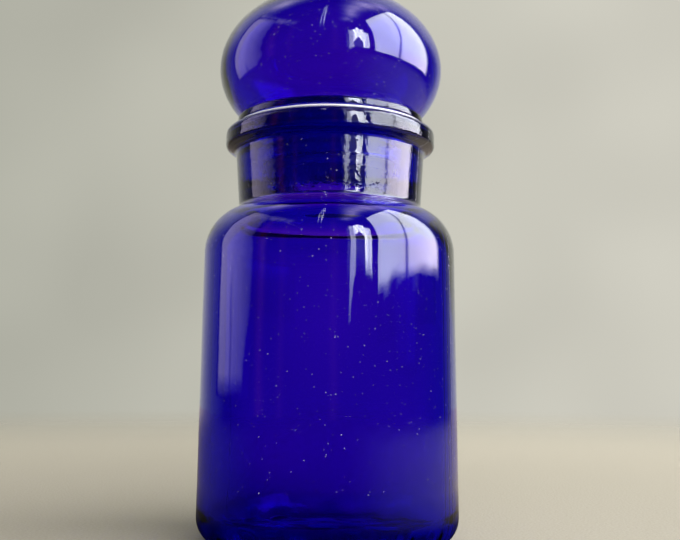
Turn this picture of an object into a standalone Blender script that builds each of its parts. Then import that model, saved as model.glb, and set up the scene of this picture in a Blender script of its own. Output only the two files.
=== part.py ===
"""Cobalt glass medicine jar with a hollow bubble stopper and a plastic seal ring.

Metres, +Z up. The origin is the centre of the jar's resting face, so the jar stands on z = 0.
Every piece is turned about the Z axis: its outline is drawn in the XZ plane and spun.
"""
import math

import bmesh
import bpy

# ---------------------------------------------------------------- overall
TURN_STEPS = 52                 # faces round each turned piece
SHARP_ANGLE = math.radians(38)  # edges sharper than this stay crisp in shading

# ---------------------------------------------------------------- jar, outside
HEEL_RADIUS = 0.0320            # widest radius of the body, just above the base
SHOULDER_START_RADIUS = 0.0313  # the body narrows slightly towards the shoulder
REST_RING_OUTER = 0.0255        # flat ring that the jar stands on
REST_RING_INNER = 0.0215
PUSH_UP_HEIGHT = 0.0020         # shallow hollow under the base
HEEL_HEIGHT = 0.0067            # where the rounded heel meets the body
SHOULDER_START = 0.0704         # where the body meets the shoulder
SHOULDER_ROUND = 0.0103         # radial size of the shoulder's round
SHOULDER_RISE = 0.0115          # height of the shoulder's round
NECK_BASE_RADIUS = 0.02295
NECK_TOP_RADIUS = 0.0238
NECK_BASE = 0.0829              # above the small cove at the neck's root
COVE_SWEEP = 8.0                # degrees of the shoulder's round that the cove takes up
NECK_TOP = 0.0957               # under the lip
LIP_RADIUS = 0.0265
LIP_UNDERSIDE = 0.0970
LIP_TOP = 0.1020
LIP_TOP_ROUND = 0.0016
LIP_LOWER_ROUND = 0.0012

# ---------------------------------------------------------------- jar, inside
BORE_RADIUS = 0.0200            # the mouth and neck
BORE_EDGE_ROUND = 0.0010
BODY_WALL = 0.0030
FLOOR_CENTRE_HEIGHT = 0.0052    # the floor bulges up over the hollow under the base
FLOOR_EDGE_HEIGHT = 0.0032
FLOOR_ROUND = 0.0055
INNER_SHOULDER_START = 0.0700
INNER_SHOULDER_ROUND = 0.0108
INNER_SHOULDER_RISE = 0.0095

# ---------------------------------------------------------------- stopper
BUBBLE_CENTRE = 0.1178
BUBBLE_RADIUS = 0.02834
BUBBLE_HALF_HEIGHT = 0.02074
BUBBLE_WALL = 0.0025
THROAT_ANGLE = -52.0            # where the hollow narrows into the plug, below its middle
FLANGE_RADIUS = 0.0236
FLANGE_UNDERSIDE = 0.1032
FLANGE_TOP = 0.1050
FLANGE_ROUND = 0.0004
PLUG_TOP_RADIUS = 0.0172
PLUG_END_RADIUS = 0.0168
PLUG_END = 0.0909
PLUG_WALL = 0.0027
PLUG_COVE = 0.0008              # round between the plug and the flange

# ---------------------------------------------------------------- seal ring
SEAL_FLANGE_RADIUS = 0.0241
SEAL_FLANGE_UNDERSIDE = 0.1023
SEAL_FLANGE_TOP = 0.1029
SEAL_SLEEVE_INNER = 0.0176
SEAL_SLEEVE_OUTER = 0.0187
SEAL_SLEEVE_END = 0.0925
SEAL_FIN_RADIUS = 0.0197        # a running gap to the bore
SEAL_FIN_HEIGHT = 0.0012
SEAL_FIN_LEVELS = (0.0997, 0.0971, 0.0945)
SEAL_EDGE_ROUND = 0.0003

GLASS_COLOUR = (0.010, 0.002, 0.260, 1.0)
GLASS_GLOSS = 0.03              # roughness of the fire-polished surface
GLASS_CLARITY = 0.6             # share of the light that goes through
SEAL_COLOUR = (0.780, 0.790, 0.800, 1.0)
SEAL_GLOSS = 0.40


def clear_scene():
    """Remove whatever objects the file starts with."""
    for thing in list(bpy.data.objects):
        bpy.data.objects.remove(thing, do_unlink=True)


def arc(centre, size, start_deg, end_deg, steps):
    """Points on an elliptical arc: centre (x, z), size (x, z), angles from +X towards +Z."""
    points = []
    for i in range(steps + 1):
        angle = math.radians(start_deg + (end_deg - start_deg) * i / steps)
        points.append((centre[0] + size[0] * math.cos(angle),
                       centre[1] + size[1] * math.sin(angle)))
    return points


def curve(start, control, end, steps):
    """Points on a smooth bend from start to end that leaves and arrives towards control."""
    points = []
    for i in range(steps + 1):
        t = i / steps
        weights = ((1 - t) ** 2, 2 * t * (1 - t), t ** 2)
        points.append(tuple(weights[0] * start[k] + weights[1] * control[k] + weights[2] * end[k]
                            for k in (0, 1)))
    return points


def dome(edge_radius, centre_height, edge_height, steps):
    """Points from the axis out to edge_radius, level at both ends, falling between them."""
    points = []
    for i in range(steps + 1):
        share = 0.5 + 0.5 * math.cos(math.pi * i / steps)
        points.append((edge_radius * i / steps,
                       edge_height + (centre_height - edge_height) * share))
    return points


def joined(*stretches):
    """One outline from several stretches, with repeated points left out."""
    outline = []
    for point in (p for stretch in stretches for p in stretch):
        if not outline or math.dist(point, outline[-1]) > 1e-5:
            outline.append(point)
    return outline


def round_angle(round_size, inset):
    """Angle in degrees at which a round of that radial size has come in by inset."""
    return math.degrees(math.acos(1 - inset / round_size))


def jar_outline():
    """Axis of the floor, out, up the inside, over the lip, down the outside, in to the axis."""
    inner_radius = HEEL_RADIUS - BODY_WALL
    inner_top_radius = SHOULDER_START_RADIUS - BODY_WALL
    floor_edge = inner_radius - FLOOR_ROUND
    floor = dome(floor_edge, FLOOR_CENTRE_HEIGHT, FLOOR_EDGE_HEIGHT, 5)
    floor_round = arc((floor_edge, FLOOR_EDGE_HEIGHT + FLOOR_ROUND),
                      (FLOOR_ROUND, FLOOR_ROUND), -90, 0, 5)
    inset = inner_top_radius - BORE_RADIUS
    inner_shoulder = arc((inner_top_radius - INNER_SHOULDER_ROUND, INNER_SHOULDER_START),
                         (INNER_SHOULDER_ROUND, INNER_SHOULDER_RISE), 0,
                         round_angle(INNER_SHOULDER_ROUND, inset), 6)
    bore_edge = arc((BORE_RADIUS + BORE_EDGE_ROUND, LIP_TOP - BORE_EDGE_ROUND),
                    (BORE_EDGE_ROUND, BORE_EDGE_ROUND), 180, 90, 3)
    lip_edge = arc((LIP_RADIUS - LIP_TOP_ROUND, LIP_TOP - LIP_TOP_ROUND),
                   (LIP_TOP_ROUND, LIP_TOP_ROUND), 90, 0, 4)
    lip_lower = arc((LIP_RADIUS - LIP_LOWER_ROUND, LIP_UNDERSIDE + LIP_LOWER_ROUND),
                    (LIP_LOWER_ROUND, LIP_LOWER_ROUND), 0, -80, 3)
    lip_cove = curve((NECK_TOP_RADIUS + LIP_LOWER_ROUND, LIP_UNDERSIDE - LIP_LOWER_ROUND / 4),
                     (NECK_TOP_RADIUS, LIP_UNDERSIDE - LIP_LOWER_ROUND / 2),
                     (NECK_TOP_RADIUS, NECK_TOP), 3)
    shoulder_centre = (SHOULDER_START_RADIUS - SHOULDER_ROUND, SHOULDER_START)
    meets_neck = round_angle(SHOULDER_ROUND, SHOULDER_START_RADIUS - NECK_BASE_RADIUS)
    shoulder_end = meets_neck - COVE_SWEEP
    shoulder = arc(shoulder_centre, (SHOULDER_ROUND, SHOULDER_RISE), shoulder_end, 0, 8)
    neck_cove = curve((NECK_BASE_RADIUS, NECK_BASE),
                      (NECK_BASE_RADIUS, SHOULDER_START + SHOULDER_RISE), shoulder[0], 3)
    heel = arc((REST_RING_OUTER, HEEL_HEIGHT),
               (HEEL_RADIUS - REST_RING_OUTER, HEEL_HEIGHT), 0, -90, 6)
    push_up = curve((REST_RING_INNER, 0.0), (REST_RING_INNER * 0.7, PUSH_UP_HEIGHT),
                    (0.0, PUSH_UP_HEIGHT), 4)
    return joined(floor, floor_round, inner_shoulder, bore_edge, lip_edge, lip_lower,
                  lip_cove, neck_cove, shoulder, heel, push_up)


def stopper_outline():
    """Top of the bubble, down the outside to the plug's rim, and up the inside to the axis."""
    bubble_size = (BUBBLE_RADIUS, BUBBLE_HALF_HEIGHT)
    drop = BUBBLE_CENTRE - FLANGE_TOP
    meet = -math.degrees(math.asin(drop / BUBBLE_HALF_HEIGHT))
    bubble = arc((0.0, BUBBLE_CENTRE), bubble_size, 90, meet, 14)
    flange_top = arc((FLANGE_RADIUS - FLANGE_ROUND, FLANGE_TOP - FLANGE_ROUND),
                     (FLANGE_ROUND, FLANGE_ROUND), 90, 0, 2)
    flange_bottom = arc((FLANGE_RADIUS - FLANGE_ROUND, FLANGE_UNDERSIDE + FLANGE_ROUND),
                        (FLANGE_ROUND, FLANGE_ROUND), 0, -90, 2)
    plug_top = curve((PLUG_TOP_RADIUS + PLUG_COVE / 4, FLANGE_UNDERSIDE),
                     (PLUG_TOP_RADIUS, FLANGE_UNDERSIDE),
                     (PLUG_TOP_RADIUS, FLANGE_UNDERSIDE - PLUG_COVE), 2)
    rim_radius = PLUG_WALL / 2
    rim = arc((PLUG_END_RADIUS - rim_radius, PLUG_END + rim_radius),
              (rim_radius, rim_radius), 0, -180, 6)
    inner_size = (BUBBLE_RADIUS - BUBBLE_WALL, BUBBLE_HALF_HEIGHT - BUBBLE_WALL)
    plug_inner = PLUG_TOP_RADIUS - PLUG_WALL
    inner_bubble = arc((0.0, BUBBLE_CENTRE), inner_size, THROAT_ANGLE, 90, 12)
    throat = curve((plug_inner, FLANGE_UNDERSIDE), (plug_inner, FLANGE_TOP),
                   inner_bubble[0], 3)
    return joined(bubble, flange_top, flange_bottom, plug_top, rim, throat, inner_bubble)


def seal_outline():
    """Closed loop: over the flange, down the fins, and up the inside of the sleeve."""
    thickness = SEAL_FLANGE_TOP - SEAL_FLANGE_UNDERSIDE
    edge = arc((SEAL_FLANGE_RADIUS - thickness / 2, SEAL_FLANGE_UNDERSIDE + thickness / 2),
               (thickness / 2, thickness / 2), 90, -90, 4)
    fins = [(SEAL_SLEEVE_OUTER, SEAL_FLANGE_UNDERSIDE)]
    for level in SEAL_FIN_LEVELS:
        fins += [(SEAL_SLEEVE_OUTER, level + SEAL_FIN_HEIGHT / 2),
                 (SEAL_FIN_RADIUS, level + SEAL_FIN_HEIGHT / 4),
                 (SEAL_FIN_RADIUS, level),
                 (SEAL_SLEEVE_OUTER, level - SEAL_FIN_HEIGHT / 2)]
    end = [(SEAL_SLEEVE_OUTER, SEAL_SLEEVE_END + SEAL_EDGE_ROUND),
           (SEAL_SLEEVE_OUTER - SEAL_EDGE_ROUND, SEAL_SLEEVE_END),
           (SEAL_SLEEVE_INNER, SEAL_SLEEVE_END), (SEAL_SLEEVE_INNER, SEAL_FLANGE_TOP)]
    return joined(edge, fins, end)


def turned(name, outline, closed):
    """Spin an outline about Z and return the object, one closed body."""
    mesh_builder = bmesh.new()
    vertices = [mesh_builder.verts.new((x, 0.0, z)) for x, z in outline]
    edges = [mesh_builder.edges.new(pair) for pair in zip(vertices, vertices[1:])]
    if closed:
        edges.append(mesh_builder.edges.new((vertices[-1], vertices[0])))
    bmesh.ops.spin(mesh_builder, geom=vertices + edges, axis=(0.0, 0.0, 1.0),
                   cent=(0.0, 0.0, 0.0), angle=2 * math.pi, steps=TURN_STEPS,
                   use_duplicate=False)
    bmesh.ops.remove_doubles(mesh_builder, verts=mesh_builder.verts, dist=2e-6)
    bmesh.ops.recalc_face_normals(mesh_builder, faces=mesh_builder.faces)
    mesh = bpy.data.meshes.new(name)
    mesh_builder.to_mesh(mesh)
    mesh_builder.free()
    mesh.shade_smooth()
    mesh.set_sharp_from_angle(angle=SHARP_ANGLE)
    piece = bpy.data.objects.new(name, mesh)
    bpy.context.scene.collection.objects.link(piece)
    return piece


def material(name, colour, roughness, transmission):
    """A plain non-metal with the piece's colour and gloss."""
    finish = bpy.data.materials.new(name)
    finish.use_nodes = True
    shader = finish.node_tree.nodes["Principled BSDF"]
    shader.inputs["Base Color"].default_value = colour
    shader.inputs["Roughness"].default_value = roughness
    shader.inputs["Metallic"].default_value = 0.0
    shader.inputs["Transmission Weight"].default_value = transmission
    finish.diffuse_color = colour
    return finish


def make_jar():
    """The jar: body, shoulder, neck and lip in one piece of glass."""
    jar = turned("jar", jar_outline(), closed=False)
    jar.data.materials.append(material("jar_glass", GLASS_COLOUR, GLASS_GLOSS, GLASS_CLARITY))


def make_stopper():
    """The stopper: bubble, flange and hollow plug in one piece of glass."""
    stopper = turned("stopper", stopper_outline(), closed=False)
    stopper.data.materials.append(
        material("stopper_glass", GLASS_COLOUR, GLASS_GLOSS, GLASS_CLARITY))


def make_seal_ring():
    """The plastic ring that closes the gap between the plug and the neck."""
    seal = turned("seal_ring", seal_outline(), closed=True)
    seal.data.materials.append(material("seal_plastic", SEAL_COLOUR, SEAL_GLOSS, 0.0))


clear_scene()
make_jar()
make_stopper()
make_seal_ring()
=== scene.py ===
"""Looks of the cobalt glass medicine jar: glass, seal ring, dust, table, windows and camera.

Metres, +Z up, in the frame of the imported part. The jar stands on z = 0 and its axis is Z.
"""
import math

import bmesh
import bpy
import numpy as np
from mathutils import Matrix, Vector
from mathutils.bvhtree import BVHTree


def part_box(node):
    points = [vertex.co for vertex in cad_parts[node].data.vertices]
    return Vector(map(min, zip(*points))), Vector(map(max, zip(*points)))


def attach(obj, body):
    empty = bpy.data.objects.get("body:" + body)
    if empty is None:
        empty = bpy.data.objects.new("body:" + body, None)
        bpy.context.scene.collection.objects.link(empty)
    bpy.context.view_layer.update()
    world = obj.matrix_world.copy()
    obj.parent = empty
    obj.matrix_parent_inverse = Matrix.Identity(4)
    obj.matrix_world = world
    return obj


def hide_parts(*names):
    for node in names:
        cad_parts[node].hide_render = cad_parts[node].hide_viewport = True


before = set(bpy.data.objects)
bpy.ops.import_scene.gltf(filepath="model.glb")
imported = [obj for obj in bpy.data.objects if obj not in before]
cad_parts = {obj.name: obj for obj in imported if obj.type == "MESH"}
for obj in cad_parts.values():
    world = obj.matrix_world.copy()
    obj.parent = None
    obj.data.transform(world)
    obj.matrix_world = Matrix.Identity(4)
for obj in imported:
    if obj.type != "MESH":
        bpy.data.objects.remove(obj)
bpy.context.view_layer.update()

JAR_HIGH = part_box("jar")[1]
STOPPER_LOW, STOPPER_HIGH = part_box("stopper")
SEAL_LOW, SEAL_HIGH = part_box("seal_ring")

# ---------------------------------------------------------------- shape, from the frame
SKIN = 0.00006                            # the wavy glass stays this far inside the CAD box
HEEL_RADIUS = JAR_HIGH.x - SKIN
LIP_TOP = JAR_HIGH.z
STOPPER_TOP = STOPPER_HIGH.z - SKIN
BUBBLE_RADIUS = STOPPER_HIGH.x - SKIN
PLUG_END = STOPPER_LOW.z
SEAL_RADIUS = SEAL_HIGH.x
SEAL_TOP = SEAL_HIGH.z
SEAL_END = SEAL_LOW.z

# ---------------------------------------------------------------- jar
SHOULDER_START_RADIUS = HEEL_RADIUS - 0.0007
REST_RING = (0.0215, 0.0255)              # inner and outer radius of the ring it stands on
PUSH_UP_HEIGHT = 0.0020
HEEL_HEIGHT = 0.0067
SHOULDER_START = 0.0704
SHOULDER_SIZE = (0.0103, 0.0115)
NECK_BASE_RADIUS = 0.02295
NECK_TOP_RADIUS = 0.0238
NECK_BASE = 0.0829
NECK_TOP = 0.0957
COVE_SWEEP = 8.0
LIP_RADIUS = 0.02646
LIP_UNDERSIDE = 0.0970
LIP_TOP_ROUND = 0.0016
LIP_LOWER_ROUND = 0.0012
BORE_RADIUS = 0.0200
BORE_EDGE_ROUND = 0.0010
BORE_FOOT_ROUND = 0.0040                  # how high the bore's foot is rounded
BORE_FOOT_STEPS = 12                      # steps of the inner shoulder that its round takes up
BODY_WALL = 0.0030
FLOOR_CENTRE_HEIGHT = 0.0052              # the floor bulges up over the hollow under the base
FLOOR_EDGE_HEIGHT = 0.0032
FLOOR_ROUND = 0.0055
INNER_SHOULDER_START = 0.0700
INNER_SHOULDER_SIZE = (0.0108, 0.0095)

# ---------------------------------------------------------------- stopper
BUBBLE_CENTRE = 0.1178
BUBBLE_WALL = 0.0025
THROAT_ANGLE = -52.0
FLANGE_RADIUS = 0.02354
FLANGE_UNDERSIDE = 0.1032
FLANGE_TOP = 0.1050
FLANGE_ROUND = 0.0004
PLUG_TOP_RADIUS = 0.0172
PLUG_END_RADIUS = 0.0168
PLUG_WALL = 0.0027
PLUG_COVE = 0.0008

# ---------------------------------------------------------------- seal ring
SEAL_FLANGE_UNDERSIDE = 0.1023
SEAL_SLEEVE = (0.0176, 0.0187)            # inner and outer radius
SEAL_FIN_RADIUS = 0.0197
SEAL_FIN_HEIGHT = 0.0012
SEAL_FIN_LEVELS = (0.0997, 0.0971, 0.0945)
SEAL_EDGE_ROUND = 0.0003

# ---------------------------------------------------------------- unevenness of the glass
WAVE_COUNT = 24                           # sines in each layer of unevenness
JAR_SKIN_DEPTH = 0.00005
JAR_RIPPLE_DEPTH = 0.000012
JAR_WALL_DEPTH = 0.0006
JAR_FLOOR_DEPTH = 0.0014
STOPPER_SKIN_DEPTH = 0.00004
STOPPER_WALL_DEPTH = 0.0004
PEEL_SCALE = 1000.0                       # orange peel: the noise's scale and its depth
PEEL_DEPTH = 0.00004
PEEL_BLEND = 0.003                        # the height in which the peel comes and goes
JAR_PEEL = (0.083, 0.104)                 # the neck and the lip
STOPPER_PEEL = (0.100, 0.106)             # the flange
SEAM_AZIMUTH = 66.0                       # the mould seams lie here and opposite
SEAM_HALF_WIDTH = 0.0003
SEAM_DEPTH = 0.00010
FLOOR_CLOUD_RADIUS = 0.0235               # the jar's floor is a little cloudy inside this radius
FLOOR_CLOUD_BLEND = 0.003
FLOOR_CLOUD_HEIGHTS = (0.007, 0.010)      # the cloudiness ends between these heights
FLOOR_CLOUD_ROUGHNESS = 0.10
PLUG_ROUGHNESS = 0.60                     # the plug is ground matt
GLOSS_SCALE = 900.0                       # faint unevenness of the polish
GLOSS_ROUGHNESS = 0.03

# ---------------------------------------------------------------- glass
GLASS_IOR = 1.52
COBALT_COLOUR = (0.47, 0.0, 0.945, 1.0)
COBALT_DENSITY = 1350.0

# ---------------------------------------------------------------- dust
DUST_SIZE = (0.00005, 0.00008)            # smallest radius, and how far it goes above that
DUST_SPREAD = 70.0                        # degrees round the azimuth where it lies thickest
DUST_THICKNESS = (0.00003, 0.00002)       # above and below the glass
DUST_CORNERS = (0.0, 1.26, 2.51, 3.77, 5.03)                # radians round a speck
DUST_FROM = 0.06                          # how far out the place of a speck is looked for
DUST_MARGIN = 0.00012                     # specks keep this far from the CAD box

# ---------------------------------------------------------------- mesh fineness
GLASS_STEPS = 240
GLASS_SPACING = 0.0009
SEAL_STEPS = 160
SEAL_SPACING = 0.0012

# ---------------------------------------------------------------- camera
LENS = 50.9
SENSOR = 36.0
EYE = Vector((0.0, -0.2405, 0.0402))
PITCH = math.radians(6.33)
PAN = math.radians(0.64)
ROLL = math.radians(0.36)

# ---------------------------------------------------------------- windows and room
# Each side, foot or top of a sheet is the stretch in which its light comes or goes.
RIGHT_WINDOW_X = 0.30
RIGHT_NEAR = (-0.334, -0.326)
RIGHT_FAR = (0.085, 0.125)
RIGHT_TOP = (0.585, 0.625)
RIGHT_FOOT = 0.0965                       # its ragged lower edge, where greenery stands
RIGHT_FOOT_BLEND = 0.010
MULLION_WIDTH = 0.009
THROUGH_LEVEL = 6.0                       # the softer light that shines through the glass
THROUGH_GAP = 0.01
LEFT_WINDOW_X = -0.40
LEFT_FAR = (0.125, 0.155)
LEFT_FOOT = (0.037, 0.045)
LEFT_TOP = (0.54, 0.61)
FAR_WINDOW_Y = -0.42                      # the small far window stands behind the camera
FAR_LEFT = (0.126, 0.131)
FAR_RIGHT = (0.312, 0.318)
FAR_FOOT = (0.118, 0.136)
GABLE_MIDDLE = 0.205                      # a house stands in front of the far window
GABLE_HALF_WIDTH = 0.042
GABLE_EAVES = 0.185
GABLE_RISE = 0.085
CORDS = (("cord_a", -8.0, 8.5), ("cord_b", -11.5, 4.5))     # name, azimuth and brightness
CORD_DISTANCE = 0.5
CORD_HALF_WIDTH = 0.7                     # degrees
ROOM_RADIUS = 3.60                        # the dark room that only reflections see
WALL_AZIMUTHS = (-180, -152, -143, -131, -120, -110, -100, 118, 127, 135, 144, 156, 180)
WALL_LEVELS = (0.55, 0.55, 0.48, 0.30, 0.16, 0.08, 0.003, 0.02, 0.08, 0.22, 0.60, 0.65, 0.58)
# Painted light and shade of the floor that reflections show, at each azimuth: dark in front, pale
# at the right.
FLOOR_AZIMUTHS = (-180, -155, -125, -105, -80, -60, 15, 30, 50, 71, 94, 123, 139, 155, 180)
FLOOR_PAINTED_LEVELS = (0.40, 0.20, 0.14, 0.11, 0.05, 0.003, 0.003, 0.06, 0.22, 0.36, 0.45, 0.53,
                0.60, 0.50, 0.40)
FLOOR_RINGS = (0.0, 0.03, 0.05, 0.09, 0.15, 0.25, 0.36, 0.45, 0.56, 0.68, 0.82, 1.00, 1.20)
FLOOR_CARD_Z = -0.0004                    # just under the table's top
DARKEST = 0.003
# Patches of light on the ceiling: azimuth, elevation, width in degrees, and brightness.
CEILING_PATCHES = ((20, 52, 3.5, 2.0), (30, 61, 4, 3.2), (38, 68, 4, 3.0), (58, 73, 5, 2.8),
                   (97, 72, 6, 3.2), (116, 63, 5, 1.8), (-108, 50, 2.5, 1.4),
                   (-99, 50, 2.5, 1.8), (-90, 50, 2.5, 2.0), (-81, 49.5, 2.5, 2.0),
                   (-72, 49, 2.5, 1.9), (-63, 48, 2.5, 1.7), (-54, 47, 2.5, 1.3),
                   (-45, 45, 2.5, 0.9), (-120, 64, 6, 1.6))
# Reddish upright streaks on the wall: azimuth, width in degrees, brightness and tint.
RED_STREAKS = ((-62, 4, 0.22, (1.0, 0.15, 0.1)), (4, 3, 0.13, (1.0, 0.2, 0.15)),
               (-42, 2.5, 0.10, (1.0, 0.2, 0.15)))
DAY = (0.93, 0.965, 1.0)                  # tint of the sky in the windows
DUSK = (1.0, 0.86, 1.05)                  # tint of the left window
FLOOR_TINT = (1.0, 0.85, 0.72)
WALL = (0.553, 0.553, 0.485)              # radiance of the pale wall

# ---------------------------------------------------------------- table and daylight
LAMP_TINT = (1.0, 0.955, 1.04)            # tint of the daylight on the table
LAMP_ENERGY = 78.0
LAMP_SIZE = (2.6, 2.0)
LAMP_PLACE = (1.05, -0.95, 1.25)
TABLE_RINGS = (0.05, 0.1, 0.2, 0.4, 0.6, 0.8, 1.0)
TABLE_STEPS = 96
TABLE_FADE = (0.22, 1.00)                 # the table thins out into the wall in this stretch
LINEN = ((0.285, 0.270, 0.212), (0.340, 0.324, 0.255))
BACKDROP = ((0.450, 0.450, 0.385), (0.620, 0.605, 0.530))   # the wall at -X and at +X


# ================================================================ outlines
def arc(centre, size, start_deg, end_deg, steps):
    """Points on an elliptical arc: centre (x, z), size (x, z), angles from +X towards +Z."""
    points = []
    for i in range(steps + 1):
        angle = math.radians(start_deg + (end_deg - start_deg) * i / steps)
        points.append((centre[0] + size[0] * math.cos(angle),
                       centre[1] + size[1] * math.sin(angle)))
    return points


def curve(start, control, end, steps):
    """Points on a smooth bend from start to end that leaves and arrives towards control."""
    points = []
    for i in range(steps + 1):
        t = i / steps
        weights = ((1 - t) ** 2, 2 * t * (1 - t), t ** 2)
        points.append(tuple(weights[0] * start[k] + weights[1] * control[k] + weights[2] * end[k]
                            for k in (0, 1)))
    return points


def dome(edge_radius, centre_height, edge_height, steps):
    """Points from the axis out to edge_radius, level at both ends, falling between them."""
    points = []
    for i in range(steps + 1):
        share = 0.5 + 0.5 * math.cos(math.pi * i / steps)
        points.append((edge_radius * i / steps,
                       edge_height + (centre_height - edge_height) * share))
    return points


def joined(*stretches):
    """One outline from several stretches, with repeated points left out."""
    outline = []
    for point in (p for stretch in stretches for p in stretch):
        if not outline or math.dist(point, outline[-1]) > 1e-5:
            outline.append(point)
    return outline


def filled(outline, spacing, closed):
    """The outline with long straight runs divided, so that they can carry waviness."""
    ends = outline[1:] + (outline[:1] if closed else [])
    points = []
    for start, end in zip(outline, ends):
        parts = max(1, round(math.dist(start, end) / spacing))
        points += [(start[0] + (end[0] - start[0]) * i / parts,
                    start[1] + (end[1] - start[1]) * i / parts) for i in range(parts)]
    return points if closed else points + [outline[-1]]


def round_angle(round_size, inset):
    """Angle in degrees at which a round of that radial size has come in by inset."""
    return math.degrees(math.acos(1 - inset / round_size))


def jar_outline():
    """Axis of the floor, out, up the inside, over the lip, down the outside, in to the axis."""
    inner_radius = HEEL_RADIUS - BODY_WALL
    inner_top_radius = SHOULDER_START_RADIUS - BODY_WALL
    floor_edge = inner_radius - FLOOR_ROUND
    floor = dome(floor_edge, FLOOR_CENTRE_HEIGHT, FLOOR_EDGE_HEIGHT, 16)
    floor_round = arc((floor_edge, FLOOR_EDGE_HEIGHT + FLOOR_ROUND),
                      (FLOOR_ROUND, FLOOR_ROUND), -90, 0, 12)
    inset = inner_top_radius - BORE_RADIUS
    inner_shoulder = arc((inner_top_radius - INNER_SHOULDER_SIZE[0], INNER_SHOULDER_START),
                         INNER_SHOULDER_SIZE, 0, round_angle(INNER_SHOULDER_SIZE[0], inset), 20)
    leaves = inner_shoulder[-BORE_FOOT_STEPS]
    before = inner_shoulder[-BORE_FOOT_STEPS - 1]
    slope = (leaves[1] - before[1]) / (before[0] - leaves[0])
    foot = leaves[1] + slope * (leaves[0] - BORE_RADIUS)
    bore_foot = curve(leaves, (BORE_RADIUS, foot), (BORE_RADIUS, foot + BORE_FOOT_ROUND), 14)
    bore_edge = arc((BORE_RADIUS + BORE_EDGE_ROUND, LIP_TOP - BORE_EDGE_ROUND),
                    (BORE_EDGE_ROUND, BORE_EDGE_ROUND), 180, 90, 8)
    lip_edge = arc((LIP_RADIUS - LIP_TOP_ROUND, LIP_TOP - LIP_TOP_ROUND),
                   (LIP_TOP_ROUND, LIP_TOP_ROUND), 90, 0, 12)
    lip_lower = arc((LIP_RADIUS - LIP_LOWER_ROUND, LIP_UNDERSIDE + LIP_LOWER_ROUND),
                    (LIP_LOWER_ROUND, LIP_LOWER_ROUND), 0, -80, 10)
    lip_cove = curve((NECK_TOP_RADIUS + LIP_LOWER_ROUND, LIP_UNDERSIDE - LIP_LOWER_ROUND / 4),
                     (NECK_TOP_RADIUS, LIP_UNDERSIDE - LIP_LOWER_ROUND / 2),
                     (NECK_TOP_RADIUS, NECK_TOP), 10)
    shoulder_centre = (SHOULDER_START_RADIUS - SHOULDER_SIZE[0], SHOULDER_START)
    meets_neck = round_angle(SHOULDER_SIZE[0], SHOULDER_START_RADIUS - NECK_BASE_RADIUS)
    shoulder = arc(shoulder_centre, SHOULDER_SIZE, meets_neck - COVE_SWEEP, 0, 36)
    neck_cove = curve((NECK_BASE_RADIUS, NECK_BASE),
                      (NECK_BASE_RADIUS, SHOULDER_START + SHOULDER_SIZE[1]), shoulder[0], 10)
    heel = arc((REST_RING[1], HEEL_HEIGHT), (HEEL_RADIUS - REST_RING[1], HEEL_HEIGHT), 0, -90, 20)
    push_up = curve((REST_RING[0], 0.0), (REST_RING[0] * 0.7, PUSH_UP_HEIGHT),
                    (0.0, PUSH_UP_HEIGHT), 12)
    return joined(floor, floor_round, inner_shoulder[:-BORE_FOOT_STEPS], bore_foot, bore_edge,
                  lip_edge, lip_lower, lip_cove, neck_cove, shoulder, heel, push_up)


def stopper_outline():
    """Top of the bubble, down the outside to the plug's rim, and up the inside to the axis."""
    half_height = STOPPER_TOP - BUBBLE_CENTRE
    meet = -math.degrees(math.asin((BUBBLE_CENTRE - FLANGE_TOP) / half_height))
    bubble = arc((0.0, BUBBLE_CENTRE), (BUBBLE_RADIUS, half_height), 90, meet, 80)
    flange_top = arc((FLANGE_RADIUS - FLANGE_ROUND, FLANGE_TOP - FLANGE_ROUND),
                     (FLANGE_ROUND, FLANGE_ROUND), 90, 0, 6)
    flange_bottom = arc((FLANGE_RADIUS - FLANGE_ROUND, FLANGE_UNDERSIDE + FLANGE_ROUND),
                        (FLANGE_ROUND, FLANGE_ROUND), 0, -90, 6)
    plug_top = curve((PLUG_TOP_RADIUS + PLUG_COVE / 4, FLANGE_UNDERSIDE),
                     (PLUG_TOP_RADIUS, FLANGE_UNDERSIDE),
                     (PLUG_TOP_RADIUS, FLANGE_UNDERSIDE - PLUG_COVE), 6)
    rim_radius = PLUG_WALL / 2
    rim = arc((PLUG_END_RADIUS - rim_radius, PLUG_END + rim_radius),
              (rim_radius, rim_radius), 0, -180, 16)
    inner_size = (BUBBLE_RADIUS - BUBBLE_WALL, half_height - BUBBLE_WALL)
    plug_inner = PLUG_TOP_RADIUS - PLUG_WALL
    inner_bubble = arc((0.0, BUBBLE_CENTRE), inner_size, THROAT_ANGLE, 90, 60)
    throat = curve((plug_inner, FLANGE_UNDERSIDE), (plug_inner, FLANGE_TOP), inner_bubble[0], 12)
    return joined(bubble, flange_top, flange_bottom, plug_top, rim, throat, inner_bubble)


def seal_outline():
    """Closed loop: over the flange, down the fins, and up the inside of the sleeve."""
    half = (SEAL_TOP - SEAL_FLANGE_UNDERSIDE) / 2
    edge = arc((SEAL_RADIUS - half, SEAL_TOP - half), (half, half), 90, -90, 14)
    fins = [(SEAL_SLEEVE[1], SEAL_FLANGE_UNDERSIDE)]
    for level in SEAL_FIN_LEVELS:
        fins += [(SEAL_SLEEVE[1], level + SEAL_FIN_HEIGHT / 2),
                 (SEAL_FIN_RADIUS, level + SEAL_FIN_HEIGHT / 4),
                 (SEAL_FIN_RADIUS, level),
                 (SEAL_SLEEVE[1], level - SEAL_FIN_HEIGHT / 2)]
    end = [(SEAL_SLEEVE[1], SEAL_END + SEAL_EDGE_ROUND),
           (SEAL_SLEEVE[1] - SEAL_EDGE_ROUND, SEAL_END),
           (SEAL_SLEEVE[0], SEAL_END), (SEAL_SLEEVE[0], SEAL_TOP)]
    return joined(edge, fins, end)


# ================================================================ fields
def ramp(value, start, end):
    """Rises smoothly from 0 at start to 1 at end."""
    t = np.clip((value - start) / (end - start), 0, 1)
    return t * t * (3 - 2 * t)


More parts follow.
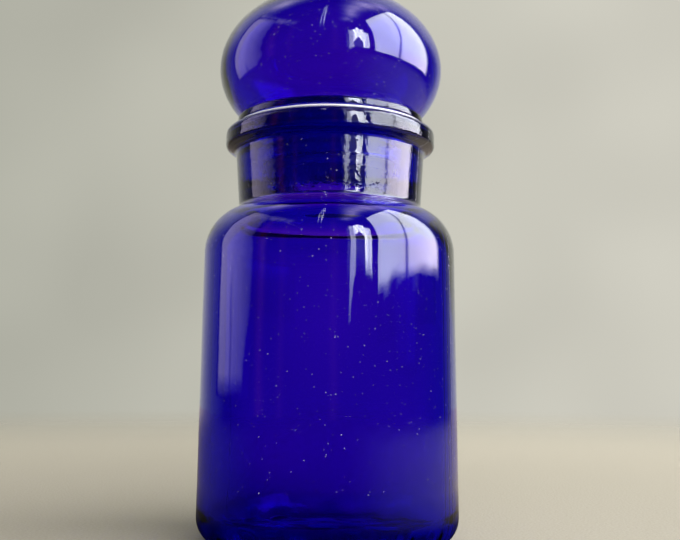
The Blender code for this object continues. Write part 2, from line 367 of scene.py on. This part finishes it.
def span(value, low, high, soft):
    """1 between low and high, with edges soft wide."""
    return ramp(value, low - soft / 2, low + soft / 2) * (
        1 - ramp(value, high - soft / 2, high + soft / 2))


def hump(value, middle, width):
    """A smooth bump of height 1."""
    return np.exp(-((value - middle) / width) ** 2)


# ================================================================ meshes
def turned(name, outline, closed, steps):
    """Turn an outline about Z into a closed mesh of quads, with triangles at the axis."""
    on_axis = [i for i, point in enumerate(outline) if point[0] < 1e-7]
    vertices, rows = [], []
    for i, (radius, height) in enumerate(outline):
        if i in on_axis:
            rows.append([len(vertices)] * steps)
            vertices.append((0.0, 0.0, height))
            continue
        rows.append([len(vertices) + k for k in range(steps)])
        for k in range(steps):
            angle = 2 * math.pi * k / steps
            vertices.append((radius * math.cos(angle), radius * math.sin(angle), height))
    pairs = list(zip(rows, rows[1:])) + ([(rows[-1], rows[0])] if closed else [])
    faces = []
    for upper, lower in pairs:
        for k in range(steps):
            corners = [upper[k], lower[k], lower[(k + 1) % steps], upper[(k + 1) % steps]]
            face = [c for n, c in enumerate(corners) if c != corners[n - 1]]
            faces.append(face)
    mesh = bpy.data.meshes.new(name)
    mesh.from_pydata(vertices, [], faces)
    mesh.update()
    piece = bpy.data.objects.new(name, mesh)
    bpy.context.scene.collection.objects.link(piece)
    return piece


def waves(points, seed, count, wavelengths, stretch):
    """A smooth random field between 0 and 1: sines whose crests run mostly up and down."""
    rng = np.random.default_rng(seed)
    total = np.zeros(len(points))
    for _ in range(count):
        length = rng.uniform(*wavelengths)
        direction = rng.normal(size=3)
        direction[2] *= stretch
        direction *= 2 * math.pi / (length * np.linalg.norm(direction))
        total += np.sin(points @ direction + rng.uniform(0, 2 * math.pi))
    spread = 2.2 * math.sqrt(count / 2)
    return np.clip(0.5 + total / spread / 2, 0, 1)


def make_wavy(piece, layers):
    """Press the surface in along its normals, as blown glass is uneven.

    Each layer is (seed, wavelengths, stretch, depth); depth gets the points and the normals.
    """
    mesh = piece.data
    count = len(mesh.vertices)
    points = np.empty(count * 3)
    mesh.vertices.foreach_get("co", points)
    points = points.reshape(-1, 3)
    normals = np.empty(count * 3)
    mesh.vertices.foreach_get("normal", normals)
    normals = normals.reshape(-1, 3)
    shift = np.zeros(count)
    for seed, wavelengths, stretch, depth in layers:
        field = waves(points, seed, WAVE_COUNT, wavelengths, stretch)
        shift += field * depth(points, normals)
    points = points - normals * shift[:, None]
    mesh.vertices.foreach_set("co", points.ravel())
    mesh.update()


def faces_in(points, normals):
    """1 on surfaces that face the axis or the hollow, 0 on the outside, blended between."""
    radius = np.maximum(np.hypot(points[:, 0], points[:, 1]), 1e-6)
    outward = (points[:, 0] * normals[:, 0] + points[:, 1] * normals[:, 1]) / radius
    return 1 - ramp(outward, -0.6, -0.1)


def jar_skin_depth(points, normals):
    """The outside of the jar is the smoother side."""
    return JAR_SKIN_DEPTH * (1 - faces_in(points, normals))


def jar_ripple_depth(points, normals):
    """Small ripples on the outside of the jar."""
    return JAR_RIPPLE_DEPTH * (1 - faces_in(points, normals))


def jar_wall_depth(points, normals):
    """The inside of the body is thicker and thinner in broad patches."""
    height = points[:, 2]
    return JAR_WALL_DEPTH * faces_in(points, normals) * ramp(height, 0.008, 0.020) * (
        1 - ramp(height, 0.074, 0.084))


def jar_floor_depth(points, normals):
    """The floor of the jar is puddled."""
    level = ramp(normals[:, 2], 0.4, 0.9)
    return JAR_FLOOR_DEPTH * level * (1 - ramp(points[:, 2], 0.006, 0.009))


def stopper_skin_depth(points, normals):
    """The outside of the bubble is smooth, and the plug keeps its size."""
    above_flange = ramp(points[:, 2], 0.105, 0.109)
    return STOPPER_SKIN_DEPTH * (1 - faces_in(points, normals)) * above_flange


def stopper_wall_depth(points, normals):
    """The inside of the bubble is uneven."""
    radius = np.hypot(points[:, 0], points[:, 1])
    middle_radius = BUBBLE_RADIUS - BUBBLE_WALL / 2
    middle_height = STOPPER_TOP - BUBBLE_CENTRE - BUBBLE_WALL / 2
    reach = np.hypot(radius / middle_radius, (points[:, 2] - BUBBLE_CENTRE) / middle_height)
    inside = np.where((radius < middle_radius) & (reach < 1), 1.0, 0.0)
    return STOPPER_WALL_DEPTH * inside * ramp(points[:, 2], 0.106, 0.112)


def make_dust(name, glass, seed, count, heights, busy_azimuth):
    """Specks of dust lying on the outside of a glass piece, thickest round one azimuth."""
    rng = np.random.default_rng(seed)
    mesh_builder = bmesh.new()
    surface = bmesh.new()
    surface.from_mesh(glass.data)
    tree = BVHTree.FromBMesh(surface)
    made = 0
    while made < count:
        turn = math.radians(rng.normal(busy_azimuth, DUST_SPREAD))
        height = rng.uniform(*heights)
        size = DUST_SIZE[0] + DUST_SIZE[1] * rng.random() ** 4
        inward = Vector((-math.sin(turn), math.cos(turn), 0.0))
        start = Vector((0.0, 0.0, height)) - inward * DUST_FROM
        spot, normal, _, _ = tree.ray_cast(start, inward)
        if spot is None or spot.xy.length > HEEL_RADIUS - DUST_MARGIN:
            continue
        across = normal.orthogonal().normalized()
        along = normal.cross(across)
        rim = [spot + size * rng.uniform(0.7, 1.3) * (math.cos(a) * across + math.sin(a) * along)
               for a in DUST_CORNERS]
        ring = [mesh_builder.verts.new(p) for p in rim]
        top = mesh_builder.verts.new(spot + normal * DUST_THICKNESS[0])
        bottom = mesh_builder.verts.new(spot - normal * DUST_THICKNESS[1])
        for k in range(len(ring)):
            after = ring[(k + 1) % len(ring)]
            mesh_builder.faces.new((ring[k], after, top))
            mesh_builder.faces.new((after, ring[k], bottom))
        made += 1
    mesh = bpy.data.meshes.new(name)
    mesh_builder.to_mesh(mesh)
    mesh_builder.free()
    surface.free()
    dust = bpy.data.objects.new(name, mesh)
    bpy.context.scene.collection.objects.link(dust)
    return dust


def finish_piece(piece, cad_node, body, finish):
    """Smooth shading, material, and the frame's record of what the piece stands for."""
    piece.data.shade_smooth()
    piece.data.materials.append(finish)
    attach(piece, body)
    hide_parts(cad_node)


# ================================================================ materials
def node(tree, kind, **settings):
    """A new node with its settings; an input's name with spaces as underscores sets it."""
    made = tree.nodes.new(kind)
    for key, value in settings.items():
        label = key.replace("_", " ")
        if hasattr(made, key):
            setattr(made, key, value)
        else:
            made.inputs[label].default_value = value
    return made


def new_material(name):
    """A new material, its node tree, its shader, and the place in space that its nodes read."""
    finish = bpy.data.materials.new(name)
    finish.use_nodes = True
    tree = finish.node_tree
    place = node(tree, "ShaderNodeTexCoord").outputs["Object"]
    return finish, tree, tree.nodes["Principled BSDF"], place


def eased(tree, value, start, end, low, high):
    """A value that passes smoothly from low at start to high at end."""
    made = node(tree, "ShaderNodeMapRange", interpolation_type="SMOOTHSTEP",
                From_Min=start, From_Max=end, To_Min=low, To_Max=high)
    tree.links.new(value, made.inputs["Value"])
    return made.outputs["Result"]


def brought(tree, value, low, high):
    """A value from 0 to 1 brought between low and high."""
    made = node(tree, "ShaderNodeMapRange", To_Min=low, To_Max=high)
    tree.links.new(value, made.inputs["Value"])
    return made.outputs["Result"]


def combined(tree, operation, first, second):
    """Two values added or multiplied."""
    made = node(tree, "ShaderNodeMath", operation=operation)
    tree.links.new(first, made.inputs[0])
    tree.links.new(second, made.inputs[1])
    return made.outputs["Value"]


def noise(tree, place, scale, detail=2.0):
    """Noise in space, from 0 to 1."""
    made = node(tree, "ShaderNodeTexNoise", Scale=scale, Detail=detail)
    tree.links.new(place, made.inputs["Vector"])
    return made.outputs["Fac"]


def two_tone(tree, value, dark, pale, ends=(0.0, 1.0)):
    """A colour that goes from dark to pale as the value passes from one end to the other."""
    made = node(tree, "ShaderNodeValToRGB")
    for element, colour, position in zip(made.color_ramp.elements, (dark, pale), ends):
        element.position = position
        element.color = (*colour, 1.0)
    tree.links.new(value, made.inputs["Fac"])
    return made.outputs["Color"]


def floor_cloud(tree, place, height):
    """Extra roughness on the floor of the jar."""
    flat = node(tree, "ShaderNodeVectorMath", operation="MULTIPLY")
    flat.inputs[1].default_value = (1.0, 1.0, 0.0)
    tree.links.new(place, flat.inputs[0])
    radius = node(tree, "ShaderNodeVectorMath", operation="LENGTH")
    tree.links.new(flat.outputs["Vector"], radius.inputs[0])
    inside = eased(tree, radius.outputs["Value"], FLOOR_CLOUD_RADIUS,
                   FLOOR_CLOUD_RADIUS + FLOOR_CLOUD_BLEND, FLOOR_CLOUD_ROUGHNESS, 0.0)
    low = eased(tree, height, *FLOOR_CLOUD_HEIGHTS, 1.0, 0.0)
    return combined(tree, "MULTIPLY", inside, low)


def seam_normal(tree, place, seam, under):
    """A low ridge, the mould seam, in the plane at that azimuth."""
    turn = math.radians(seam)
    across = node(tree, "ShaderNodeVectorMath", operation="DOT_PRODUCT")
    across.inputs[1].default_value = (math.cos(turn), math.sin(turn), 0.0)
    tree.links.new(place, across.inputs[0])
    away = node(tree, "ShaderNodeMath", operation="ABSOLUTE")
    tree.links.new(across.outputs["Value"], away.inputs[0])
    ridge = eased(tree, away.outputs["Value"], 0.0, SEAM_HALF_WIDTH, 1.0, 0.0)
    bump = node(tree, "ShaderNodeBump", Strength=0.5, Distance=SEAM_DEPTH)
    tree.links.new(ridge, bump.inputs["Height"])
    tree.links.new(under, bump.inputs["Normal"])
    return bump.outputs["Normal"]


def glass_material(name, peel_low, peel_high, matt=(-1.0, -0.5), seam=None):
    """Cobalt glass, with an orange-peel skin between two heights and matt below the stretch."""
    finish, tree, shader, place = new_material(name)
    shader.inputs["Base Color"].default_value = (1.0, 1.0, 1.0, 1.0)
    shader.inputs["Transmission Weight"].default_value = 1.0
    shader.inputs["IOR"].default_value = GLASS_IOR
    parts = node(tree, "ShaderNodeSeparateXYZ")
    tree.links.new(place, parts.inputs["Vector"])
    height = parts.outputs["Z"]
    gloss = brought(tree, noise(tree, place, GLOSS_SCALE), 0.0, GLOSS_ROUGHNESS)
    ground = eased(tree, height, *matt, PLUG_ROUGHNESS, 0.0)
    rough = combined(tree, "ADD", gloss, ground)
    rough = combined(tree, "ADD", rough, floor_cloud(tree, place, height))
    tree.links.new(rough, shader.inputs["Roughness"])
    starts = eased(tree, height, peel_low - PEEL_BLEND, peel_low, 0.04, 0.8)
    ends = eased(tree, height, peel_high, peel_high + PEEL_BLEND, 1.0, 0.05)
    bump = node(tree, "ShaderNodeBump", Distance=PEEL_DEPTH)
    tree.links.new(combined(tree, "MULTIPLY", starts, ends), bump.inputs["Strength"])
    tree.links.new(noise(tree, place, PEEL_SCALE, 1.0), bump.inputs["Height"])
    normal = bump.outputs["Normal"]
    if seam is not None:
        normal = seam_normal(tree, place, seam, normal)
    tree.links.new(normal, shader.inputs["Normal"])
    absorb = node(tree, "ShaderNodeVolumeAbsorption", Density=COBALT_DENSITY)
    absorb.inputs["Color"].default_value = COBALT_COLOUR
    tree.links.new(absorb.outputs["Volume"], tree.nodes["Material Output"].inputs["Volume"])
    return finish


def seal_material(name, clarity, roughness):
    """Translucent polyethylene, slightly cloudy; clarity is the share that isn't milky."""
    finish, tree, shader, place = new_material(name)
    cloud = noise(tree, place, 400.0, 4.0)
    tint = two_tone(tree, cloud, (0.80, 0.81, 0.84), (0.92, 0.93, 0.94))
    tree.links.new(tint, shader.inputs["Base Color"])
    gloss = brought(tree, cloud, roughness - 0.08, roughness + 0.08)
    tree.links.new(gloss, shader.inputs["Roughness"])
    shader.inputs["Transmission Weight"].default_value = clarity
    shader.inputs["IOR"].default_value = 1.5
    return finish


def dust_material():
    """Pale dry dust."""
    finish, tree, shader, place = new_material("dust")
    patches = noise(tree, place, 300.0)
    tint = two_tone(tree, patches, (0.36, 0.34, 0.41), (0.75, 0.73, 0.76))
    tree.links.new(tint, shader.inputs["Base Color"])
    tree.links.new(brought(tree, patches, 0.7, 0.95), shader.inputs["Roughness"])
    return finish


# ================================================================ stage
def glowing(name, points, columns, colours, seen_by):
    """A sheet of points in rows of so many columns that shines with a colour at each point.

    Only the kinds of ray named in seen_by see it.
    """
    rows = len(points) // columns
    faces = []
    for r in range(rows - 1):
        for c in range(columns - 1):
            corner = r * columns + c
            face = (corner, corner + 1, corner + columns + 1, corner + columns)
            if max(colours[i].max() for i in face) > 1e-4:
                faces.append(face)
    mesh = bpy.data.meshes.new(name)
    mesh.from_pydata([tuple(p) for p in points], [], faces)
    layer = mesh.color_attributes.new("glow", "FLOAT_COLOR", "POINT")
    layer.data.foreach_set("color", np.hstack([colours, np.ones((len(colours), 1))]).ravel())
    sheet = bpy.data.objects.new(name, mesh)
    bpy.context.scene.collection.objects.link(sheet)
    finish = bpy.data.materials.new(name)
    finish.use_nodes = True
    tree = finish.node_tree
    tree.nodes.clear()
    out = node(tree, "ShaderNodeOutputMaterial")
    shine = node(tree, "ShaderNodeEmission", Strength=1.0)
    glow = node(tree, "ShaderNodeAttribute", attribute_name="glow")
    tree.links.new(glow.outputs["Color"], shine.inputs["Color"])
    tree.links.new(shine.outputs["Emission"], out.inputs["Surface"])
    mesh.materials.append(finish)
    sheet.visible_camera = False
    sheet.visible_diffuse = False
    sheet.visible_shadow = False
    sheet.visible_glossy = "glossy" in seen_by
    sheet.visible_transmission = "transmission" in seen_by
    return sheet


def flat_grid(low, high, spacing):
    """Rows of points over a rectangle given by its ranges, and the number of columns."""
    across = np.arange(low[0], high[0] + spacing / 2, spacing)
    upward = np.arange(low[1], high[1] + spacing / 2, spacing)
    u, v = np.meshgrid(across, upward)
    return u.ravel(), v.ravel(), len(across)


def tinted(level, tint):
    """The level at each point in a tint."""
    return level[:, None] * np.array(tint)[None, :]


def make_right_window():
    """The main window: tall, with a mullion, greenery along its lower edge, reddish low down.

    A second, softer sheet stands for it in what is seen through the glass.
    """
    y, z, columns = flat_grid((-0.35, 0.07), (0.15, 0.65), 0.005)
    points = np.stack([np.full_like(y, RIGHT_WINDOW_X), y, z], 1)
    ragged = waves(points, 21, 16, (0.06, 0.20), 0.0)
    foot = RIGHT_FOOT + 0.006 * ragged - 0.0045 * ramp(y, -0.23, -0.06)
    level = 9.0 + 1.3 * ramp(y, -0.14, -0.08) - 2.5 * ramp(y, 0.04, 0.15)
    level = level * ramp(y, *RIGHT_NEAR) * (1 - ramp(y, *RIGHT_FAR))
    level = level * ramp(z, foot, foot + RIGHT_FOOT_BLEND) * (1 - ramp(z, *RIGHT_TOP))
    mullion = -0.114 + 0.12 * ramp(z, 0.12, 0.60)
    level = level * (1 - 0.85 * hump(y, mullion, MULLION_WIDTH))
    level = level * (0.90 + 0.2 * waves(points, 22, 16, (0.09, 0.24), 0.5))
    colours = tinted(level, DAY)
    warm = (1 - ramp(z, 0.12, 0.20)) * ramp(y, -0.22, -0.04)
    colours[:, 1] *= 1 - 0.13 * warm
    colours[:, 2] *= 1 - 0.04 * warm
    glowing("window_right", points, columns, colours, "glossy")
    level = THROUGH_LEVEL * ramp(y, -0.34, -0.24) * (1 - ramp(y, 0.02, 0.14))
    level = level * ramp(z, 0.07, 0.20) * (1 - ramp(z, 0.46, 0.62))
    points = points + np.array((THROUGH_GAP, 0.0, 0.0))
    glowing("window_right_through", points, columns, tinted(level, DAY), "transmission")


def make_left_window():
    """The dim left window: it fades towards the camera and has a thin dark line low down."""
    y, z, columns = flat_grid((-0.17, 0.01), (0.17, 0.64), 0.0075)
    points = np.stack([np.full_like(y, LEFT_WINDOW_X), y, z], 1)
    wobble = 0.02 * (waves(points, 23, 12, (0.05, 0.12), 0.6) - 0.5)
    near = -0.15 + 0.05 * (1 - ramp(z, 0.04, 0.10)) + wobble
    level = 0.45 + 0.85 * ramp(y, -0.14, -0.02) + 0.5 * ramp(y, -0.03, 0.05)
    level = level * ramp(y, near, near + 0.02) * (1 - ramp(y, *LEFT_FAR))
    level = level * ramp(z, *LEFT_FOOT) * (1 - ramp(z, *LEFT_TOP))
    level = level * (0.72 + 0.28 * ramp(z, 0.05, 0.12))
    level = level * (1 - 0.6 * hump(y, 0.02, 0.008) * (1 - ramp(z, 0.09, 0.12)))
    glowing("window_left", points, columns, tinted(level, DUSK), "glossy transmission")


def make_far_window():
    """The small bright far window, ragged at the top, with a gable shape in front of it."""
    x, z, columns = flat_grid((0.10, 0.05), (0.335, 0.46), 0.004)
    points = np.stack([x, np.full_like(x, FAR_WINDOW_Y), z], 1)
    ragged = waves(points, 24, 16, (0.015, 0.06), 0.4)
    top = 0.36 + 0.06 * hump(x, 0.22, 0.05) + 0.05 * (ragged - 0.5)
    level = 6.0 + 12.0 * ramp(x, 0.150, 0.18) - 6.0 * ramp(x, 0.265, 0.285)
    level = level * (0.65 + 0.7 * waves(points, 25, 16, (0.01, 0.04), 0.15))
    level = level * ramp(x, *FAR_LEFT) * (1 - ramp(x, *FAR_RIGHT))
    level = level * (1 - ramp(z, top - 0.012, top)) * ramp(z, *FAR_FOOT)
    roof = GABLE_EAVES + GABLE_RISE * (1 - np.abs(x - GABLE_MIDDLE) / GABLE_HALF_WIDTH)
    walls = span(x, GABLE_MIDDLE - GABLE_HALF_WIDTH, GABLE_MIDDLE + GABLE_HALF_WIDTH, 0.004)
    level = level * (1 - 0.97 * (1 - ramp(z, roof - 0.004, roof)) * walls)
    strip_edge = 0.140 + 0.034 * ramp(z, 0.085, 0.13)
    strip = ramp(x, *FAR_LEFT) * (1 - ramp(x, strip_edge - 0.006, strip_edge))
    strip = strip * ramp(z, 0.084, 0.094) * (1 - ramp(z, 0.14, 0.16))
    level = np.maximum(level, strip * (3.0 + 3.5 * ramp(z, 0.09, 0.14)))
    side_strip = 1.2 * span(x, 0.112, 0.119, 0.003) * span(z, 0.12, 0.30, 0.03)
    glowing("window_far", points, columns, tinted(level + side_strip, DAY), "glossy")


def make_rail():
    """A thin bright line along the left wall, above the window."""
    y, z, columns = flat_grid((-0.76, 0.543), (0.05, 0.555), 0.006)
    points = np.stack([np.full_like(y, LEFT_WINDOW_X), y, z], 1)
    glowing("rail", points, columns, tinted(np.full_like(y, 0.5), DUSK), "glossy")


def make_cords():
    """Two thin hanging cords above the camera, fading out downwards."""
    up = np.arange(27.0, 81.0, 1.0)
    for name, where, level in CORDS:
        turn = np.array([where - CORD_HALF_WIDTH, where, where + CORD_HALF_WIDTH])
        e, t = np.meshgrid(up, turn, indexing="ij")
        points = CORD_DISTANCE * directions_of(t.ravel(), e.ravel())
        fade = ramp(e.ravel(), 44, 56) * level
        glowing(name, points, len(turn), tinted(fade, DAY), "glossy")


def directions_of(around, above):
    """Unit vectors at those azimuths and elevations, in degrees."""
    a, e = np.radians(around), np.radians(above)
    return np.stack([np.sin(a) * np.cos(e), -np.cos(a) * np.cos(e), np.sin(e)], 1)


def glow_at(directions, az, el, width):
    """A soft round patch of light that many degrees wide."""
    toward = directions_of(np.array([az]), np.array([el]))[0]
    return hump(np.degrees(np.arccos(np.clip(directions @ toward, -1, 1))), 0, width)


def wall_level(around):
    """How bright the room is round about, in degrees from the camera's side towards +X."""
    return np.interp(around, WALL_AZIMUTHS, WALL_LEVELS)


def make_room():
    """A dome that only reflections see: dark in front, paler wall at the back, patches above."""
    up = np.linspace(-8, 90, 60)
    turn = np.linspace(-180, 180, 181)
    above, around = np.meshgrid(up, turn, indexing="ij")
    above, around = above.ravel(), around.ravel()
    directions = directions_of(around, above)
    wider = around + 15 * np.sign(around) * ramp(above, 15, 35)
    level = wall_level(np.clip(wider, -180, 180))
    level = level * (1 + 0.5 * ramp(above, 20, 40)) * (1 - ramp(above, 65, 85)) + DARKEST
    colours = tinted(level, WALL) / WALL[0]
    for az, el, width, strength in CEILING_PATCHES:
        colours += tinted(strength * glow_at(directions, az, el, width), DUSK)
    low = 1 - ramp(above, 35, 60)
    for az, width, strength, tint in RED_STREAKS:
        colours += tinted(strength * hump(around, az, width) * low, tint)
    colours += tinted(0.30 * glow_at(directions, -60, 10.5, 2.2), (1.0, 0.35, 0.3))
    glowing("room", directions * ROOM_RADIUS, len(turn), colours, "glossy")


def make_floor_card():
    """The floor as reflections see it: painted shade near the jar and in front, painted light at
    the right.
    """
    turn = np.linspace(-180, 180, 121)
    r, around = np.meshgrid(np.array(FLOOR_RINGS), turn, indexing="ij")
    r, around = r.ravel(), around.ravel()
    points = directions_of(around, np.zeros_like(around)) * r[:, None]
    points[:, 2] = FLOOR_CARD_Z
    level = np.interp(around, FLOOR_AZIMUTHS, FLOOR_PAINTED_LEVELS)
    far = ramp(r, 0.36, 1.15)
    # painted shadow round the jar's foot; further out the level passes into the wall's
    level = level * ramp(r, 0.030, 0.150) * (1 - far) + wall_level(around) * far
    glowing("floor_card", points, len(turn), tinted(level + 0.002, FLOOR_TINT), "glossy")


def make_daylight():
    """The light that the windows cast on the table, from further off so that it falls evenly."""
    data = bpy.data.lights.new("daylight", "AREA")
    data.shape = "RECTANGLE"
    data.size, data.size_y = LAMP_SIZE
    data.energy = LAMP_ENERGY
    data.color = LAMP_TINT
    lamp = bpy.data.objects.new("daylight", data)
    lamp.location = LAMP_PLACE
    lamp.rotation_euler = (-lamp.location).to_track_quat("-Z", "Y").to_euler()
    bpy.context.scene.collection.objects.link(lamp)
    lamp.visible_camera = False
    lamp.visible_glossy = False
    lamp.visible_transmission = False


def make_table():
    """A pale linen-covered table that thins out into the backdrop some way off."""
    steps = TABLE_STEPS
    vertices = [(0.0, 0.0, 0.0)]
    for ring in TABLE_RINGS:
        vertices += [(ring * math.cos(2 * math.pi * k / steps),
                      ring * math.sin(2 * math.pi * k / steps), 0.0) for k in range(steps)]
    faces = [(0, 1 + k, 1 + (k + 1) % steps) for k in range(steps)]
    for r in range(len(TABLE_RINGS) - 1):
        a, b = 1 + r * steps, 1 + (r + 1) * steps
        faces += [(a + k, b + k, b + (k + 1) % steps, a + (k + 1) % steps) for k in range(steps)]
    mesh = bpy.data.meshes.new("table")
    mesh.from_pydata(vertices, [], faces)
    table = bpy.data.objects.new("table", mesh)
    bpy.context.scene.collection.objects.link(table)
    mesh.materials.append(table_material())
    table.visible_glossy = False


def table_material():
    """Linen, with painted light that makes it paler further off and towards +X, and nothing at all
    beyond the fade.
    """
    finish, tree, shader, place = new_material("table")
    shader.inputs["Roughness"].default_value = 0.85
    shader.inputs["Specular IOR Level"].default_value = 0.1
    weave = noise(tree, place, 1400.0, 3.0)
    tint = two_tone(tree, weave, *LINEN, ends=(0.3, 0.7))
    length = node(tree, "ShaderNodeVectorMath", operation="LENGTH")
    tree.links.new(place, length.inputs[0])
    away = length.outputs["Value"]
    sides = node(tree, "ShaderNodeSeparateXYZ")
    tree.links.new(place, sides.inputs["Vector"])
    # painted light: the linen's colour is raised further off and towards +X, where the table is
    # brighter
    paler = eased(tree, away, 0.08, 0.40, 1.0, 1.25)
    lit = eased(tree, sides.outputs["X"], -0.04, 0.08, 1.0, 1.20)
    linen = node(tree, "ShaderNodeVectorMath", operation="SCALE")
    tree.links.new(tint, linen.inputs[0])
    tree.links.new(combined(tree, "MULTIPLY", paler, lit), linen.inputs["Scale"])
    tree.links.new(linen.outputs["Vector"], shader.inputs["Base Color"])
    bump = node(tree, "ShaderNodeBump", Strength=0.4, Distance=0.0003)
    tree.links.new(weave, bump.inputs["Height"])
    tree.links.new(bump.outputs["Normal"], shader.inputs["Normal"])
    clear = node(tree, "ShaderNodeBsdfTransparent")
    mix = node(tree, "ShaderNodeMixShader")
    tree.links.new(eased(tree, away, *TABLE_FADE, 0.0, 1.0), mix.inputs["Fac"])
    tree.links.new(shader.outputs["BSDF"], mix.inputs[1])
    tree.links.new(clear.outputs["BSDF"], mix.inputs[2])
    tree.links.new(mix.outputs["Shader"], tree.nodes["Material Output"].inputs["Surface"])
    return finish


def make_world():
    """A plain wall, a little brighter towards +X."""
    world = bpy.data.worlds.new("pale_wall")
    bpy.context.scene.world = world
    world.use_nodes = True
    tree = world.node_tree
    background = tree.nodes["Background"]
    place = node(tree, "ShaderNodeTexCoord").outputs["Generated"]
    parts = node(tree, "ShaderNodeSeparateXYZ")
    tree.links.new(place, parts.inputs["Vector"])
    share = node(tree, "ShaderNodeMapRange", From_Min=-0.32, From_Max=0.32)
    tree.links.new(parts.outputs["X"], share.inputs["Value"])
    tint = two_tone(tree, share.outputs["Result"], *BACKDROP)
    mottle = node(tree, "ShaderNodeMapRange", From_Min=0.3, From_Max=0.7, To_Min=0.93, To_Max=1.07)
    tree.links.new(noise(tree, place, 5.0, 1.0), mottle.inputs["Value"])
    tree.links.new(mottle.outputs["Result"], background.inputs["Strength"])
    tree.links.new(tint, background.inputs["Color"])


# ================================================================ camera
def make_camera():
    """A camera low down in front of the jar, looking slightly up."""
    forward = Vector((math.sin(PAN) * math.cos(PITCH), math.cos(PAN) * math.cos(PITCH),
                      math.sin(PITCH)))
    level = Vector((math.cos(PAN), -math.sin(PAN), 0.0))
    above = level.cross(forward)
    right = math.cos(ROLL) * level + math.sin(ROLL) * above
    up = math.cos(ROLL) * above - math.sin(ROLL) * level
    data = bpy.data.cameras.new("camera")
    data.lens = LENS
    data.sensor_width = SENSOR
    data.clip_start = 0.005
    data.clip_end = 50.0
    camera = bpy.data.objects.new("camera", data)
    bpy.context.scene.collection.objects.link(camera)
    turn = Matrix((right, up, -forward)).transposed()
    camera.matrix_world = Matrix.Translation(EYE) @ turn.to_4x4()
    bpy.context.scene.camera = camera


# ================================================================ build
jar = turned("jar_glass", filled(jar_outline(), GLASS_SPACING, False), False, GLASS_STEPS)
stopper = turned("stopper_glass", filled(stopper_outline(), GLASS_SPACING, False), False,
                 GLASS_STEPS)
seal = turned("seal_ring_plastic", filled(seal_outline(), SEAL_SPACING, True), True, SEAL_STEPS)
make_wavy(jar, ((11, (0.010, 0.026), 0.4, jar_skin_depth),
                (16, (0.004, 0.007), 0.6, jar_ripple_depth),
                (12, (0.030, 0.060), 0.5, jar_wall_depth),
                (13, (0.006, 0.012), 0.3, jar_floor_depth)))
make_wavy(stopper, ((14, (0.010, 0.026), 1.0, stopper_skin_depth),
                    (15, (0.018, 0.040), 1.0, stopper_wall_depth)))
jar_dust = make_dust("jar_dust", jar, 31, 1000, (0.006, 0.095), 40.0)
stopper_dust = make_dust("stopper_dust", stopper, 32, 450, (0.106, 0.130), 15.0)
jar_finish = glass_material("jar_glass", *JAR_PEEL, seam=SEAM_AZIMUTH)
stopper_finish = glass_material("stopper_glass", *STOPPER_PEEL,
                                matt=(FLANGE_UNDERSIDE - 0.0012, FLANGE_UNDERSIDE - 0.0004))
finish_piece(jar, "jar", "jar_body", jar_finish)
finish_piece(stopper, "stopper", "stopper_body", stopper_finish)
finish_piece(seal, "seal_ring", "seal_body", seal_material("seal_flange", 0.15, 0.45))
seal.data.materials.append(seal_material("seal_sleeve", 1.0, 0.25))
for face in seal.data.polygons:
    if face.center.z < SEAL_FLANGE_UNDERSIDE - 0.0001 or face.center.xy.length < SEAL_SLEEVE[1]:
        face.material_index = 1
dust = dust_material()
finish_piece(jar_dust, "jar", "jar_body", dust)
finish_piece(stopper_dust, "stopper", "stopper_body", dust)

make_table()
make_world()
make_right_window()
make_left_window()
make_far_window()
make_rail()
make_cords()
make_room()
make_floor_card()
make_daylight()
make_camera()

view = bpy.context.scene.view_settings
view.view_transform = "Standard"
cycles = bpy.context.scene.cycles
cycles.max_bounces = 24
cycles.transmission_bounces = 24
cycles.glossy_bounces = 12
